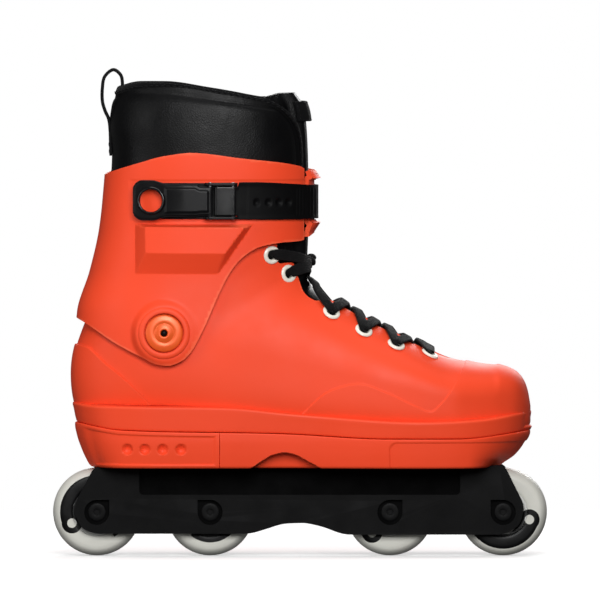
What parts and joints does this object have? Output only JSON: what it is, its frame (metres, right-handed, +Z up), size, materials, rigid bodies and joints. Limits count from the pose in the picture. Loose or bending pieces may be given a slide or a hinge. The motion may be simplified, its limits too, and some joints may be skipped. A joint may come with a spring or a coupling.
{
  "type": "aggressive inline skate",
  "caption": "Hard-shell aggressive inline skate for the right foot: laced orange boot, hinged cuff with buckle and strap, black frame, small white wheels.",
  "frame": {"origin": "on the ground, under the middle of the frame and of the wheels", "axes": "+X to the toe, -Y to the outer side with the buckle, +Z up"},
  "size_m": [0.326, 0.1143, 0.3228],
  "materials": {
    "orange_plastic": "satin moulded plastic",
    "orange_anodised": "orange anodised, satin",
    "black_plastic": "satin moulded nylon",
    "black_textile": "black padded textile",
    "black_leather": "black smooth synthetic leather",
    "black_webbing": "woven black webbing",
    "foam": "dark foam with a textile cover",
    "cream_enamel": "cream enamel",
    "urethane": "cast white urethane with a black print",
    "hub_plastic": "white nylon",
    "steel": "bright steel",
    "dark_steel": "blackened steel"
  },
  "bodies": {
    "shell": {"boot_shell": "orange_plastic", "soul_plate_rear": "orange_plastic", "soul_plate_front": "orange_plastic", "heel_shock_pad": "foam", "insole": "foam", "liner_foot": "black_textile", "tongue_lower": "black_textile", "lace": "black_webbing", "frame": "black_plastic", "frame_bolt_rear": "steel", "frame_bolt_front": "steel", "cuff_nut_outer": "dark_steel", "cuff_nut_inner": "dark_steel", "eyelet_1": "cream_enamel", "eyelet_2": "cream_enamel", "eyelet_3": "cream_enamel", "eyelet_4": "cream_enamel", "eyelet_5": "cream_enamel", "eyelet_6": "cream_enamel", "eyelet_7": "cream_enamel", "eyelet_8": "cream_enamel", "eyelet_9": "cream_enamel", "eyelet_10": "cream_enamel", "eyelet_11": "cream_enamel", "eyelet_12": "cream_enamel", "axle_1": "dark_steel", "axle_2": "dark_steel", "axle_3": "dark_steel", "axle_4": "dark_steel", "cuff_bolt_outer": "orange_anodised", "cuff_bolt_inner": "orange_anodised"},
    "cuff": {"cuff": "orange_plastic", "liner_cuff": "black_leather", "tongue_upper": "black_leather", "tongue_tab": "black_webbing", "pull_loop": "black_webbing", "buckle_base": "black_plastic", "buckle_lever_pin": "steel", "buckle_trigger_pin": "steel", "ladder_strap": "black_plastic", "buckle_screw": "steel", "strap_screw": "steel"},
    "buckle_lever": {"buckle_lever": "black_plastic"},
    "buckle_trigger": {"buckle_trigger": "black_plastic"},
    "wheel_1": {"tyre_1": "urethane", "wheel_hub_1": "hub_plastic", "bearing_1a": "steel", "bearing_1b": "steel"},
    "wheel_2": {"tyre_2": "urethane", "wheel_hub_2": "hub_plastic", "bearing_2a": "steel", "bearing_2b": "steel"},
    "wheel_3": {"tyre_3": "urethane", "wheel_hub_3": "hub_plastic", "bearing_3a": "steel", "bearing_3b": "steel"},
    "wheel_4": {"tyre_4": "urethane", "wheel_hub_4": "hub_plastic", "bearing_4a": "steel", "bearing_4b": "steel"}
  },
  "joints": [
    {"name": "wheel_1_spin", "type": "hinge", "parent": "shell", "child": "wheel_1", "pos_m": [-0.134, 0, 0.029], "axis": [0, 1, 0], "continuous": true},
    {"name": "wheel_2_spin", "type": "hinge", "parent": "shell", "child": "wheel_2", "pos_m": [-0.0593, 0, 0.029], "axis": [0, 1, 0], "continuous": true},
    {"name": "wheel_3_spin", "type": "hinge", "parent": "shell", "child": "wheel_3", "pos_m": [0.0593, 0, 0.029], "axis": [0, 1, 0], "continuous": true},
    {"name": "wheel_4_spin", "type": "hinge", "parent": "shell", "child": "wheel_4", "pos_m": [0.134, 0, 0.029], "axis": [0, 1, 0], "continuous": true},
    {"name": "cuff_flex", "type": "hinge", "parent": "shell", "child": "cuff", "pos_m": [-0.0894, 0, 0.148], "axis": [0, 1, 0], "range_deg": [-3, 10], "stiffness_Nm_per_rad": 8},
    {"name": "buckle_lever_hinge", "type": "hinge", "parent": "cuff", "child": "buckle_lever", "pos_m": [-0.059, -0.0546, 0.235], "axis": [0, 0, 1], "range_deg": [0, 95]},
    {"name": "buckle_trigger_hinge", "type": "hinge", "parent": "cuff", "child": "buckle_trigger", "pos_m": [-0.044, -0.0546, 0.235], "axis": [0, 0, 1], "range_deg": [0, 20], "stiffness_Nm_per_rad": 0.1}
  ]
}
